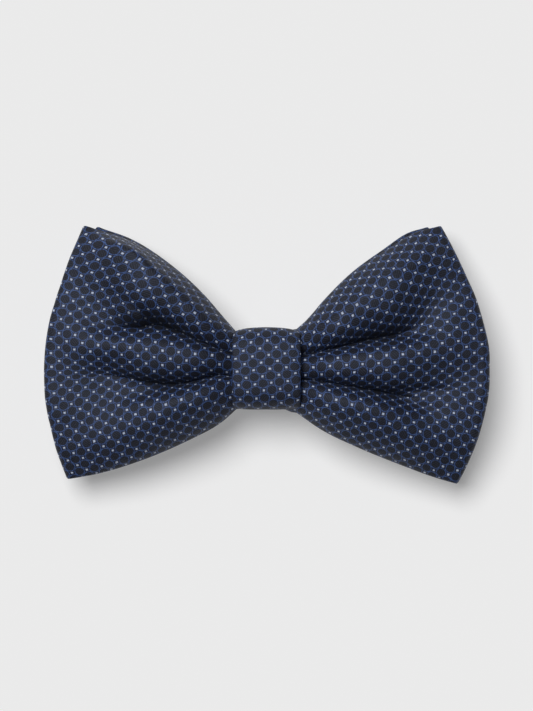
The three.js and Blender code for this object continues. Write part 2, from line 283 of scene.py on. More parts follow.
RIGHT = {
    "side": 1,
    "top": [(8.4, 6.6), (11.3, 9.2), (15.6, 14.2), (24.3, 22.5), (33, 28.2), (41.8, 32.8), (47.4, 33.7)],
    "low": [(8.4, -15.0), (15.6, -19.9), (24.3, -24.1), (37.4, -29.4), (46, -32.5), (51.8, -34.2)],
    "bulge": 10.6,
    "ridges": [
        {
            "line": [
                (8.4, -9.8), (13, -10.8), (18, -12), (24, -13.5), (30, -15.5),
                (36, -19), (42, -22), (48, -24.5), (54, -26), (60, -27),
            ],
            "rise": [
                (8.4, 3.6), (13, 5.0), (18, 5.9), (24, 6.2), (30, 6.0),
                (36, 5.3), (42, 4.4), (48, 3.3), (54, 2.2), (60, 1.3),
            ],
        },
        {
            "line": [
                (8.4, -5.8), (13, -6.4), (18, -7.2), (24, -8.4), (30, -9.6),
                (36, -10.6), (42, -11.2), (48, -10.2), (54, -10), (60, -11),
            ],
            "rise": [
                (8.4, 0.1), (13, 0.1), (18, 0.2), (24, 0.3), (30, 0.3),
                (36, 0.4), (42, 1.0), (48, 1.5), (54, 1.6), (60, 1.2),
            ],
        },
        {
            "line": [
                (8.4, -3.0), (13, -2.6), (18, -2.2), (24, -1.6), (30, -1.2),
                (36, -0.4), (42, 1.0), (48, 2.4), (54, 5.0), (60, 6),
            ],
            "rise": [
                (8.4, 3.6), (13, 5.0), (18, 5.9), (24, 6.3), (30, 6.4),
                (36, 6.3), (42, 5.8), (48, 5.0), (54, 3.8), (60, 1.6),
            ],
        },
        {
            "line": [
                (8.4, 0.3), (13, 1.0), (18, 2.0), (24, 3.4), (30, 4.8),
                (36, 6.0), (42, 8.6), (48, 14), (54, 18), (60, 20),
            ],
            "rise": [
                (8.4, 0.1), (13, 0.1), (18, 0.1), (24, 0.2), (30, 0.3),
                (36, 0.6), (42, 1.6), (48, 2.6), (54, 2.6), (60, 1.4),
            ],
        },
        {
            "line": [
                (8.4, 3.6), (13, 5.8), (18, 9.0), (24, 13.6), (30, 18.5),
                (36, 22), (42, 26), (48, 29), (60, 30),
            ],
            "rise": [
                (8.4, 3.6), (13, 5.0), (18, 6.2), (24, 6.9), (30, 7.3),
                (36, 7.4), (42, 7.0), (48, 6.0), (54, 4.2), (60, 1.7),
            ],
        },
    ],
    "dents": [
        {
            "line": [(24, 3.0), (32, 3.6), (40, 5.0), (50, 6.5)],
            "depth": [(24, 0), (32, 0.5), (40, 0.9), (46, 0.4), (50, 0)],
            "up": 2.4,
            "down": 3.0,
        },
        {
            "line": [(26, -8.0), (36, -8.6), (44, -8.6), (54, -8.8)],
            "depth": [(26, 0), (34, 0.6), (44, 0.9), (54, 0)],
            "up": 2.6,
            "down": 2.2,
        },
        {
            "line": [(28, -11.4), (36, -12.4), (42, -14.0), (50, -15.5)],
            "depth": [(28, 0), (36, 0.9), (42, 1.1), (50, 0)],
            "up": 2.4,
            "down": 3.0,
        },
        {
            "line": [(36, 24), (42, 22.5), (50, 21)],
            "depth": [(32, 0), (38, 0.5), (44, 0.6), (54, 0)],
            "up": 3.0,
            "down": 4.0,
        },
    ],
    "lean": 0.6,
    "crests": [
        [(9.4, -10.4), (20, -13.2), (29.5, -16.1), (39, -18.9), (48.5, -21.6), (58, -24.3)],
        [(9.4, -3.4), (21.3, -2.6), (31, -2.0), (42, -1.2), (52.6, 0.2), (60, 1.4)],
        [(9.4, 3.6), (16, 8.6), (22.6, 12.9), (29.5, 16.8), (37.6, 21.4), (44.5, 25.1), (52, 29)],
    ],
    "spread": (60, 9),
}
FULLER = through([(8.4, 0), (14, 0.8), (20, 1), (34, 1), (46, 0.2), (60, 0)])
EDGE_RISE = through([(8.4, 0.9), (20, 1.3), (40, 1.3), (60, 0.7)])
FRONT_BOW = {"back": 15.4, "gap": 1.6, "squeeze": 1.4, "setback": 0, "top": 0.9, "low": 0}
REAR_BOW = {"back": 11.8, "gap": 1.8, "squeeze": 0.7, "setback": 3.2, "top": 0.75, "low": 2.6}
WALL = 0.65  # half the thickness of a folded silk strip
END_REACH = 1.6  # how far the rounded end of a wing reaches past its last station
SHARED = 0.6  # how much of the front's folds the panels behind it share


def corner(s):
    """How full the folded end of a wing is: its two corners are pressed flatter."""
    return 1 - 0.7 * np.abs(2 * s - 1) ** 7


def wing_plan(wing, bow, q, s):
    """Plan position at share q along the wing and s from its low (0) to top (1) edge."""
    top_x, top_y = rail(wing["top"])
    low_x, low_y = rail(wing["low"])
    out = (1 - s) * low_x(q) + s * top_x(q)
    fullness = np.where(s > 0.5, np.abs(2 * s - 1) ** 1.6, (2 * s - 1) ** 2)
    out += wing["bulge"] * q * (1 - fullness)
    out -= (END_REACH * corner(s) + bow["setback"]) * q**3
    y = (1 - s) * (low_y(q) + bow["low"] * q) + s * (top_y(q) + bow["top"] * (q**6 - 0.5 * q * (1 - q)))
    return out, y


def droop(y, q):
    """How far the wings hang back towards their edges, the low edges most."""
    off = np.clip((np.abs(y - KNOT_Y) - 9) / 24, 0, 1.3)
    fall = np.where(y < KNOT_Y, 6.5, 4.0)
    return 0.3 * q * q + fall * off**1.8 * np.sqrt(q)


def level(bow, out, y, q):
    """Height of a bow's back panel where nothing is folded."""
    squeeze = bow["squeeze"] * (1 - ease((out - 8.4) / 12))
    return bow["back"] - 0.5 * np.sin(np.pi * np.clip(q, 0, 1)) - droop(y, q) - squeeze


def pleats(wing, bow, q, out, y):
    """Height of the pleated cloth over the panel behind, how deep in a fold each point
    is, and how far the steep sides lean over the valleys."""
    low = wing_plan(wing, bow, q, 0.0)[1] + 0 * y
    top = wing_plan(wing, bow, q, 1.0)[1] + 0 * y
    lines = [low] + [through(r["line"])(out) for r in wing["ridges"]] + [top]
    rises = [EDGE_RISE(out)] + [through(r["rise"])(out) for r in wing["ridges"]] + [EDGE_RISE(out)]
    for i in (1, 3, 5):
        rises[i] = rises[i] * (1 + 0.2 * FULLER(out))
    z = np.zeros_like(y)
    depth = np.zeros_like(y)
    lean = np.zeros_like(y)
    for i in range(6):
        inside = (y >= lines[i]) & ((y <= lines[i + 1]) if i == 5 else (y < lines[i + 1]))
        t = (y - lines[i]) / np.maximum(lines[i + 1] - lines[i], 1e-6)
        if i % 2:  # from a crest up to a valley, or to the top edge
            crest, foot = rises[i], rises[i + 1]
        else:
            crest, foot, t = rises[i + 1], rises[i], 1 - t
        power = (1.7, 2.3, 2.8, 2.3, 2.8, 1.7)[i]
        t = np.clip(t, 0, 1)
        spread_out = ease((out - 32) / 14) if 0 < i < 5 else 0.0
        drop = (1 - spread_out) * t**power + spread_out * ease(t)
        z = np.where(inside, crest - (crest - foot) * drop, z)
        if i in (1, 2, 3, 4):
            near = drop * (crest - foot)
            depth = np.where(inside, near, depth)
        if i in (2, 4):
            over = -wing["lean"] * 6.75 * t * t * (1 - t) * np.clip((crest - foot) / 4.5, 0, 1)
            lean = np.where(inside, over, lean)
    for dent in wing["dents"]:
        gap = y - through(dent["line"])(out)
        t = np.clip(np.where(gap > 0, gap / dent["up"], -gap / dent["down"]), 0, 1)
        extra = through(dent["depth"])(out) * np.cos(t * np.pi / 2) ** 2
        z = z - extra
        depth = depth + extra
    z = z + (1.2 - z) * q**8  # the end of the wing folds over at one thickness
    edge = np.minimum(y - low, top - y)
    z = z - 0.9 * np.clip(1 - edge / 1.6, 0, 1) ** 2 * (1 - q**3)
    return z, depth, lean


def front_panel(wing, bow, q, s, pleated):
    """Grid of points on the front panel of a wing. q and s are column and row grids."""
    out, y = wing_plan(wing, bow, q, s)
    if not pleated:
        rows = back_panel(wing, bow, q, s)
        rows[..., 2] += bow["gap"]
        return rows, np.zeros_like(y)
    rise, depth, lean = pleats(wing, bow, q, out, y)
    z = level(bow, out, y, q) + bow["gap"] + rise
    return np.stack([wing["side"] * out, y + lean, z], axis=2), depth


def back_panel(wing, bow, q, s):
    out, y = wing_plan(wing, bow, q, s)
    rise, _, _ = pleats(wing, bow, q, out, y)
    rise = SHARED * rise * ease((out - 8) / 6) * ease((52 - out) / 24)
    z = level(bow, out, y, q) + rise
    return np.stack([wing["side"] * out, y, z], axis=2)


def round_end(front, back, wing, steps):
    """Stations that carry the cloth round the end of a wing, from front to back."""
    middle = (front + back) / 2
    radius = (front[:, 2] - back[:, 2]) / 2
    tangent = np.gradient(middle, axis=0)
    outward = np.stack([tangent[:, 1], -tangent[:, 0], np.zeros(len(tangent))], axis=1)
    outward *= np.sign(outward[:, :1] * wing["side"])
    outward /= np.linalg.norm(outward, axis=1, keepdims=True)
    reach = radius * corner(np.linspace(0, 1, len(front)))
    rows = []
    for k in range(1, steps):
        a = math.pi * k / steps
        row = middle + outward * (reach * math.sin(a))[:, None]
        row[:, 2] = middle[:, 2] + radius * math.cos(a)
        rows.append(row)
    return np.stack(rows)


def cloth_across(wing, rows, creases):
    """How far across the flat cloth each point lies. The woven rows run straight along
    the crests, and the cloth between two crests that can't be seen is in the folds."""
    out, y = np.abs(rows[..., 0]), rows[..., 1]
    step = np.linalg.norm(np.diff(rows, axis=1), axis=2)
    run = np.concatenate([np.zeros((len(rows), 1)), np.cumsum(step, axis=1)], axis=1)
    deep = (creases[:, 1:] + creases[:, :-1]) / 2
    deep = deep / np.maximum(deep.max(axis=1, keepdims=True), 1e-6)
    weight = np.clip(deep - 0.15, 0, 1) ** 1.5 + 1e-4
    crests = [through(c) for c in wing["crests"]]
    at = np.stack([np.argmin(np.abs(y - c(out)), axis=1) for c in crests], axis=1)
    last = run[-1]
    middle = last[at[-1, 1]]
    cloth = [last[at[-1, k]] - middle for k in range(3)]
    v = np.zeros(rows.shape[:2])
    for s in range(len(rows)):
        low, mid, top = at[s]
        # The crest's exact place between two points, so that its line stays smooth.
        def exact(k, i):
            gap = y[s, i] - crests[k](out[s, i])
            slope = (y[s, i + 1] - y[s, i - 1]) / (run[s, i + 1] - run[s, i - 1])
            return run[s, i] - gap / slope
        place = [exact(0, low), exact(1, mid), exact(2, top)]
        v[s] = run[s] - place[1]
        for near, far, begin, end in ((place[1], place[2], mid, top), (place[0], place[1], low, mid)):
            wanted = cloth[2] - cloth[1] if begin == mid else cloth[1] - cloth[0]
            spare = wanted - (far - near)
            part = weight[s, begin:end] if spare > 0 else np.ones(end - begin)
            grown = np.concatenate([[0], np.cumsum(part / part.sum())]) * spare
            if begin == mid:
                v[s, begin : end + 1] += grown
                v[s, end + 1 :] += spare
            else:
                v[s, begin : end + 1] -= grown[-1] - grown
                v[s, :begin] -= spare
    return v


def cloth_along(wing, out, y):
    """How far along the strip each point of a front panel lies. Rows across the strip
    are arcs, round a point that is the wing's spread behind its middle."""
    low, top = wing["spread"]
    off = y - through(wing["crests"][1])(out)
    behind = np.where(off > 0, top, low)
    return np.hypot(out + behind, off) - behind


def bow_loop(bow, along, back_along, across, seed):
    """One bow: a strip that runs over the front of both wings and back behind them."""
    s = np.linspace(0, 1, across + 1)[None, :]
    pleated = bow is FRONT_BOW
    wings = []
    for wing in (LEFT, RIGHT):
        q = (np.linspace(0, 1, along + 1) ** 1.15)[:, None]
        front, creases = front_panel(wing, bow, q, s, pleated)
        rippled(front, 0.35 if pleated else 0.15, seed)
        if pleated:
            v = cloth_across(wing, front, creases)
        else:
            v = np.broadcast_to((2 * s - 1) * CLOTH_HALF, front.shape[:2])
        end = round_end(front[-1], back_panel(wing, bow, np.ones((1, 1)), s)[0], wing, 7)
        back = back_panel(wing, bow, np.linspace(1, 0, back_along + 1)[:, None], s)
        rest = np.concatenate([end, back])
        rows = np.concatenate([front, rest])
        step = np.linalg.norm(np.diff(rows[len(front) - 1 :, across // 2], axis=0), axis=1)
        u = cloth_along(wing, np.abs(front[..., 0]), front[..., 1])
        u = np.concatenate([u, u[-1] + np.cumsum(step)[:, None]])
        v = np.concatenate([v, np.broadcast_to(v[-1], rest.shape[:2])])
        # Painted shade in the folds: how deep each point lies in a fold, weaker towards the wing's outer
        # end. The silk is coloured darker by it.
        crease_shade_depth = creases * (1 - 0.6 * ease((np.abs(front[..., 0]) - 32) / 12))
        folded = np.concatenate([crease_shade_depth, np.zeros(rest.shape[:2])])
        wings.append((rows, wing["side"] * u, v, folded))
    left, right = wings
    tuck = np.linspace(-1, 1, 10)[1:-1]
    joined = []
    for a, b in zip(left, right):
        under = np.stack([a[0] * (1 - t) / 2 + b[0] * (1 + t) / 2 for t in tuck])
        joined.append(np.concatenate([a[::-1], under, b]))
    rows, u, v, folded = joined
    tail = np.linspace(0, 1, 6)[1:]
    starts, ends = [], []
    for t in tail:
        first, last = rows[0].copy(), rows[-1].copy()
        first[:, 0] += (-0.3 - first[:, 0]) * t
        last[:, 0] += (0.3 - last[:, 0]) * t
        starts.insert(0, first)
        ends.append(last)
    rows = np.concatenate([starts, rows, ends])
    u = np.concatenate([u[0] - 8.1 * tail[::-1, None], u, u[-1] + 8.1 * tail[:, None]])
    v = np.concatenate([np.repeat(v[:1], 5, 0), v, np.repeat(v[-1:], 5, 0)])
    folded = np.pad(folded, ((5, 5), (0, 0)))
    # The thread gathers all the cloth together in the middle.
    pinch = 1 - ease(np.abs(rows[..., 0]) / 8.2)
    rows[..., 1] = KNOT_Y + (rows[..., 1] - KNOT_Y) * (1 - 0.26 * pinch)
    rows[..., 2] = 15.3 + (rows[..., 2] - 15.3) * (1 - 0.16 * pinch)
    return rows, u, v, folded


def rippled(rows, amount, seed):
    """Adds the slight unevenness of soft cloth, finer across the folds than along them."""
    for row in rows:
        for p in row:
            reach = min(1.0, max(0.0, (abs(p[0]) - 9) / 10))
            if reach <= 0 or p[2] < 8:
                continue
            place = Vector((p[0] * 0.055 + seed, p[1] * 0.14, seed * 3.1))
            fine = Vector((p[0] * 0.12 + seed, p[1] * 0.30, seed))
            p[2] += reach * amount * (noise.noise(place) + 0.35 * noise.noise(fine))
    return rows


# ---- Materials -------------------------------------------------------------------
def new_material(name):
    material = bpy.data.materials.new(name)
    material.use_nodes = True
    tree = material.node_tree
    shader = tree.nodes["Principled BSDF"]
    return material, tree, shader


class Maths:
    """Short-hand for chains of Math nodes in one tree."""

    def __init__(self, tree):
        self.tree = tree

    def node(self, kind, *inputs, **settings):
        made = self.tree.nodes.new(kind)
        for key, value in settings.items():
            setattr(made, key, value)
        for i, value in enumerate(inputs):
            self.feed(made.inputs[i], value)
        return made

    def feed(self, socket, value):
        if isinstance(value, bpy.types.NodeSocket):
            self.tree.links.new(value, socket)
        elif value is not None:
            socket.default_value = value

    def __call__(self, operation, *inputs):
        return self.node("ShaderNodeMath", *inputs, operation=operation).outputs[0]

    def smooth(self, value, low, high, to_low=0.0, to_high=1.0):
        made = self.tree.nodes.new("ShaderNodeMapRange")
        made.interpolation_type = "SMOOTHSTEP"
        for key, given in (("Value", value), ("From Min", low), ("From Max", high)):
            self.feed(made.inputs[key], given)
        self.feed(made.inputs["To Min"], to_low)
        self.feed(made.inputs["To Max"], to_high)
        return made.outputs["Result"]


def mixed(m, factor, first, second):
    """A colour between two others, by a factor."""
    made = m.tree.nodes.new("ShaderNodeMix")
    made.data_type = "RGBA"
    m.feed(made.inputs[0], factor)
    a, b = [s for s in made.inputs if s.type == "RGBA"]
    m.feed(a, first)
    m.feed(b, second)
    return next(s for s in made.outputs if s.type == "RGBA")


def figured_weave():
    """The woven figure: small light dots in a diagonal net, a dark ribbed round in each
    mesh of the net, and a thin blue line round it. Works in millimetres of cloth."""
    group = bpy.data.node_groups.new("figured_weave", "ShaderNodeTree")
    face = group.interface
    face.new_socket("Cloth", in_out="INPUT", socket_type="NodeSocketVector")
    for name in ("Ground", "Round", "Rib", "Line", "Dot"):
        face.new_socket(name, in_out="INPUT", socket_type="NodeSocketColor")
    face.new_socket("Color", in_out="OUTPUT", socket_type="NodeSocketColor")
    face.new_socket("Roughness", in_out="OUTPUT", socket_type="NodeSocketFloat")
    face.new_socket("Height", in_out="OUTPUT", socket_type="NodeSocketFloat")
    start = group.nodes.new("NodeGroupInput")
    end = group.nodes.new("NodeGroupOutput")
    m = Maths(group)
    wander = m.node("ShaderNodeTexNoise", start.outputs["Cloth"])
    wander.inputs["Scale"].default_value = 0.9
    wander.inputs["Detail"].default_value = 2
    split = m.node("ShaderNodeSeparateXYZ", start.outputs["Cloth"])
    pushed = m.node("ShaderNodeSeparateXYZ", wander.outputs["Color"])
    u = m("ADD", split.outputs[0], m("MULTIPLY", m("SUBTRACT", pushed.outputs[0], 0.5), 0.35))
    v = m("ADD", split.outputs[1], m("MULTIPLY", m("SUBTRACT", pushed.outputs[1], 0.5), 0.35))
    pitch_u, pitch_v = 4.32, 3.76
    a, b = m("DIVIDE", u, pitch_u), m("DIVIDE", v, pitch_v)
    p, r = m("ADD", a, b), m("SUBTRACT", a, b)

    def from_nearest(offset):
        dp = m("SUBTRACT", m("FRACT", m("ADD", p, offset)), 0.5)
        dr = m("SUBTRACT", m("FRACT", m("ADD", r, offset)), 0.5)
        du = m("MULTIPLY", m("ADD", dp, dr), pitch_u / 2)
        dv = m("MULTIPLY", m("SUBTRACT", dp, dr), pitch_v / 2)
        return du, dv

    dot_u, dot_v = from_nearest(0.5)
    round_u, round_v = from_nearest(0.0)
    square = m("MAXIMUM", m("ABSOLUTE", dot_u), m("MULTIPLY", m("ABSOLUTE", dot_v), 1.15))
    dot = m.smooth(square, 0.15, 0.42, 1.0, 0.0)
    away = m("SQRT", m("ADD", m("POWER", round_u, 2.0), m("POWER", m("MULTIPLY", round_v, 1.08), 2.0)))
    medallion = m.smooth(away, 1.04, 1.2, 1.0, 0.0)
    ring = m("MULTIPLY", m.smooth(away, 1.18, 1.32), m.smooth(away, 1.38, 1.54, 1.0, 0.0))
    # Ribs lean one way in one round and the other way in the next.
    cell = m("ADD", m("FLOOR", p), m("FLOOR", r))
    way = m("SUBTRACT", m("MULTIPLY", m("FLOORED_MODULO", cell, 2.0), 2.0), 1.0)
    slant = m("ADD", u, m("MULTIPLY", v, way))
    rib = m("SINE", m("MULTIPLY", slant, 2 * math.pi / 0.7))
    rib = m("ADD", m("MULTIPLY", rib, 0.5), 0.5)
    warp = m("SINE", m("MULTIPLY", u, 2 * math.pi / 0.42))
    weft = m("SINE", m("MULTIPLY", v, 2 * math.pi / 0.42))
    thread = m("ADD", m("MULTIPLY", m("MULTIPLY", warp, weft), 0.5), 0.5)
    speck = m.node("ShaderNodeTexNoise", start.outputs["Cloth"])
    speck.inputs["Scale"].default_value = 3.2
    speck.inputs["Detail"].default_value = 3
    fleck = m.smooth(speck.outputs[0], 0.34, 0.68)
    lined = m("MULTIPLY", ring, m("ADD", 0.12, m("MULTIPLY", fleck, 1.0)))
    colour = mixed(m, lined, start.outputs["Ground"], start.outputs["Line"])
    grain = m("MULTIPLY", rib, m("ADD", 0.3, m("MULTIPLY", fleck, 1.2)))
    dark = mixed(m, grain, start.outputs["Round"], start.outputs["Rib"])
    colour = mixed(m, medallion, colour, dark)
    dotted = m("MULTIPLY", dot, m("ADD", 0.62, m("MULTIPLY", fleck, 0.38)))
    colour = mixed(m, dotted, colour, start.outputs["Dot"])
    group.links.new(colour, end.inputs["Color"])
    rough = m("ADD", 0.56, m("MULTIPLY", medallion, 0.08))
    rough = m("SUBTRACT", rough, m("MULTIPLY", dot, 0.06))
    group.links.new(rough, end.inputs["Roughness"])
    height = m("MULTIPLY", m("MULTIPLY", rib, medallion), 0.6)
    height = m("ADD", height, m("MULTIPLY", dot, 0.9))
    height = m("ADD", height, m("MULTIPLY", ring, 0.5))
    height = m("ADD", height, m("MULTIPLY", thread, 0.25))
    height = m("ADD", height, m("MULTIPLY", fleck, 0.5))
    group.links.new(height, end.inputs["Height"])
    return group


WEAVE = figured_weave()


def silk(name, turn=0.0):
    material, tree, shader = new_material(name)
    m = Maths(tree)
    cloth = tree.nodes.new("ShaderNodeUVMap")
    cloth.uv_map = "cloth"
    turned = tree.nodes.new("ShaderNodeMapping")
    turned.inputs["Rotation"].default_value = (0, 0, turn)
    tree.links.new(cloth.outputs["UV"], turned.inputs["Vector"])
    weave = tree.nodes.new("ShaderNodeGroup")
    weave.node_tree = WEAVE
    tree.links.new(turned.outputs["Vector"], weave.inputs["Cloth"])
    weave.inputs["Ground"].default_value = (0.0072, 0.0095, 0.0300, 1)
    weave.inputs["Round"].default_value = (0.0014, 0.0017, 0.0040, 1)
    weave.inputs["Rib"].default_value = (0.0210, 0.0225, 0.0360, 1)
    weave.inputs["Line"].default_value = (0.066, 0.132, 0.345, 1)
    weave.inputs["Dot"].default_value = (0.60, 0.68, 0.86, 1)
    # Painted shade: cloth deep in a fold is coloured darker, standing in for shade that falls in the folds.
    # It is not a property of the silk.
    fold_shade_attribute = tree.nodes.new("ShaderNodeAttribute")
    fold_shade_attribute.attribute_name = "fold_shade_depth"
    painted_fold_shade = m("MULTIPLY", m.smooth(fold_shade_attribute.outputs["Fac"], 2.4, 6.4), 0.78)
    colour = mixed(m, painted_fold_shade, weave.outputs["Color"], (0.0006, 0.0007, 0.0016, 1))
    tree.links.new(colour, shader.inputs["Base Color"])
    tree.links.new(weave.outputs["Roughness"], shader.inputs["Roughness"])
    bump = tree.nodes.new("ShaderNodeBump")
    bump.inputs["Strength"].default_value = 0.55
    bump.inputs["Distance"].default_value = 0.00012
    tree.links.new(weave.outputs["Height"], bump.inputs["Height"])
    tree.links.new(bump.outputs["Normal"], shader.inputs["Normal"])
    shader.inputs["Sheen Weight"].default_value = 0.015
    shader.inputs["Sheen Roughness"].default_value = 0.4
    shader.inputs["Specular IOR Level"].default_value = 0.5
    shader.inputs["Specular Tint"].default_value = (0.72, 0.80, 1.0, 1)
    return material


SILK = silk("figured_silk")
KNOT_SILK = silk("knot_silk", math.radians(5.5))


def canvas_material():
    material, tree, shader = new_material("interlining_canvas")
    m = Maths(tree)
    place = tree.nodes.new("ShaderNodeTexCoord")
    grain = m.node("ShaderNodeTexNoise", place.outputs["Object"])
    grain.inputs["Scale"].default_value = 900
    colour = mixed(m, grain.outputs[0], (0.62, 0.58, 0.48, 1), (0.78, 0.74, 0.66, 1))
    tree.links.new(colour, shader.inputs["Base Color"])
    bump = tree.nodes.new("ShaderNodeBump")
    bump.inputs["Strength"].default_value = 0.4
    bump.inputs["Distance"].default_value = 0.0001
    tree.links.new(grain.outputs[0], bump.inputs["Height"])
    tree.links.new(bump.outputs["Normal"], shader.inputs["Normal"])
    shader.inputs["Roughness"].default_value = 0.92
    return material


CANVAS = canvas_material()


def dress(piece, material):
    piece.data.materials.clear()
    piece.data.materials.append(material)


# ---- Build the bows --------------------------------------------------------------
def add_bow(label, bow, along, back_along, across, seed):
    rows, u, v, folded = bow_loop(bow, along, back_along, across, seed)
    silk_piece = strip(label + "_cloth", rows, WALL, u, v, fold=folded)
    dress(silk_piece, SILK)
    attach(silk_piece, "bow")
    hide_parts(label + "_silk")
    lining = strip(label + "_canvas", rows[:, 3:-3:4], 0.2, u[:, 3:-3:4], v[:, 3:-3:4])
    dress(lining, CANVAS)
    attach(lining, "bow")
    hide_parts(label + "_interlining")


add_bow("rear_bow", REAR_BOW, 34, 14, 64, 4.2)
add_bow("front_bow", FRONT_BOW, 84, 12, 150, 1.7)


# ---- Knot ------------------------------------------------------------------------
def knot_path(half_y, low, high, back_corner, front_corner, crown, steps=120):
    """Closed path round the knot in y and z, starting behind it."""
    corners = [
        (half_y - back_corner, low + back_corner, back_corner, -90),
        (half_y - front_corner, high - front_corner, front_corner, 0),
        (-half_y + front_corner, high - front_corner, front_corner, 90),
        (-half_y + back_corner, low + back_corner, back_corner, 180),
    ]
    points = [(0.0, low)]
    for y, z, radius, begin in corners:
        for k in range(9):
            a = math.radians(begin + 90 * k / 8)
            points.append((y + radius * math.cos(a), z + radius * math.sin(a)))
    points.append((0.0, low))
    p = np.array(points)
    run = np.concatenate([[0], np.cumsum(np.linalg.norm(np.diff(p, axis=0), axis=1))])
    even = np.linspace(0, run[-1], steps + 1)[:-1]
    y, z = np.interp(even, run, p[:, 0]), np.interp(even, run, p[:, 1])
    front = ease((z - (low + high) / 2) / ((high - low) / 2))
    z = z + front * crown * (1 - (y / half_y) ** 2)
    return y, z, even


KNOT_HALF_WIDTH = 8.7


def knot_band():
    """The knot's band: closed round the middle, a little wider in front."""
    y, z, run = knot_path(10.75, 8.3, 21.6, 2, 4.6, 1.3)
    y = y + 0.1
    z = z + 0.4
    wide = np.linspace(-1, 1, 37)
    rows = np.zeros((len(y), len(wide), 3))
    front = ease((z - 16) / 5)[:, None]
    w = wide[None, :]
    rows[..., 0] = KNOT_HALF_WIDTH * w * (1 + 0.025 * front * (1 - ((y[:, None]) / 11) ** 2))
    centre_y, centre_z = 0.0, 15.0
    inward = 0.55 * np.abs(w) ** 5
    dy, dz = y[:, None] - centre_y, z[:, None] - centre_z
    size = np.hypot(dy, dz)
    rows[..., 1] = KNOT_Y + y[:, None] - 0.7 * w * w * np.clip(y[:, None] / 11, 0, 1) - dy / size * inward
    rows[..., 2] = z[:, None] - dz / size * inward
    along, across = along_and_across(np.concatenate([rows[-2:], rows, rows[:2]]))
    along, across = along[2:-2], across[2:-2]
    normal = np.cross(across, along)
    normal /= np.linalg.norm(normal, axis=2, keepdims=True)
    half = 0.45
    face, back = rows + normal * half, rows - normal * half
    arcs = []
    for i, outward in ((-1, 1), (0, -1)):
        turned = []
        for k in range(1, EDGE_STEPS):
            a = math.pi * k / EDGE_STEPS
            side = normal[:, i] * math.cos(a) + outward * across[:, i] * math.sin(a)
            turned.append(rows[:, i] + side * half)
        arcs.append(np.stack(turned, axis=1))
    rings = np.concatenate([face, arcs[0], back[:, ::-1], arcs[1][:, ::-1]], axis=1)
    count = rings.shape[1]
    face_v = wide * KNOT_HALF_WIDTH
    edge_v = np.full(EDGE_STEPS - 1, 9.3)
    across_v = np.concatenate([face_v, edge_v, face_v[::-1], -edge_v, [-KNOT_HALF_WIDTH]])
    total = run[-1] + (run[1] - run[0])
    u = np.concatenate([run, [total]])
    uv = np.zeros((len(y) + 1, count + 1, 2))
    uv[..., 0] = across_v[None, :]
    uv[..., 1] = u[:, None]
    return grid_mesh("knot_band", rings, uv, closed_path=True)


knot = knot_band()
dress(knot, KNOT_SILK)
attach(knot, "bow")
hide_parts("knot_wrap")


# ---- Knot's padding and threads --------------------------------------------------
PAD_POINTS = 17  # points along each side of the pad
THREAD_SIDES = 6
TACK_TURNS = 22  # zigzags in a row of stitches


def pillow(name, centre, half, crown, thick):
    """A soft pad of one thickness, domed in its middle."""
    side = np.linspace(-1, 1, PAD_POINTS)
    x, y = np.meshgrid(side, side, indexing="ij")
    fade = np.clip((1 - np.abs(x) ** 3.5) * (1 - np.abs(y) ** 3.5), 0, 1) ** 0.5
    x, y = centre[0] + half[0] * x, centre[1] + half[1] * y
    rows = np.stack([x, y, centre[2] + crown * fade], axis=2)
    return strip(name, rows, thick / 2, rows[..., 0], rows[..., 1])


def tube(name, path, radius):
    """A round thread along a path of points."""
    p = np.array(path, float)
    ahead = np.gradient(p, axis=0)
    ahead /= np.linalg.norm(ahead, axis=1, keepdims=True)
    side = np.cross(ahead, [0.31, 0.17, 0.93])
    side /= np.linalg.norm(side, axis=1, keepdims=True)
    up = np.cross(side, ahead)
    a = np.linspace(0, 2 * np.pi, THREAD_SIDES, endpoint=False)[None, :, None]
    rings = p[:, None] + radius * (np.cos(a) * side[:, None] + np.sin(a) * up[:, None])
    run = np.concatenate([[0], np.cumsum(np.linalg.norm(np.diff(p, axis=0), axis=1))])
    uv = np.zeros((len(p), THREAD_SIDES + 1, 2))
    uv[..., 0] = run[:, None]
    uv[..., 1] = np.linspace(0, 2 * np.pi * radius, THREAD_SIDES + 1)[None]
    return grid_mesh(name, rings, uv)


def thread_material():
    material, tree, shader = new_material("navy_thread")
    m = Maths(tree)
    cloth = tree.nodes.new("ShaderNodeUVMap")
    cloth.uv_map = "cloth"
    split = m.node("ShaderNodeSeparateXYZ", cloth.outputs["UV"])
    twist = m("SINE", m("ADD", m("MULTIPLY", split.outputs[0], 11.0), m("MULTIPLY", split.outputs[1], 6.5)))
    twist = m("ADD", m("MULTIPLY", twist, 0.5), 0.5)
    colour = mixed(m, twist, (0.010, 0.013, 0.035, 1), (0.026, 0.034, 0.085, 1))
    tree.links.new(colour, shader.inputs["Base Color"])
    bump = tree.nodes.new("ShaderNodeBump")
    bump.inputs["Strength"].default_value = 0.6
    bump.inputs["Distance"].default_value = 0.00005
    tree.links.new(twist, bump.inputs["Height"])
    tree.links.new(bump.outputs["Normal"], shader.inputs["Normal"])
    shader.inputs["Roughness"].default_value = 0.55
    return material


THREAD = thread_material()


def node_place(name):
    """Lowest and highest corners of a part, in millimetres."""
    low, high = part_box(name)
    return np.array(low) / MM, np.array(high) / MM


def bar_tack(name, node, body):
    """A row of close zigzag stitches the size of a part."""
    low, high = node_place(node)
    middle = (low + high) / 2
    reach = (high - low) / 2
    radius = reach[2] * 0.9
    path = []
    for k in range(TACK_TURNS * 2 + 1):
        x = middle[0] + (reach[0] - radius) * (1 if k % 2 else -1)
        path.append((x, low[1] + radius + (2 * (reach[1] - radius)) * k / (TACK_TURNS * 2), middle[2]))
    piece = tube(name, path, radius)
    dress(piece, THREAD)
    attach(piece, body)
    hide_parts(node)


padding = pillow("knot_pad", (0, KNOT_Y, 20.55), (7.9, 6.8), 1.3, 0.9)
dress(padding, CANVAS)
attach(padding, "bow")
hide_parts("knot_padding")


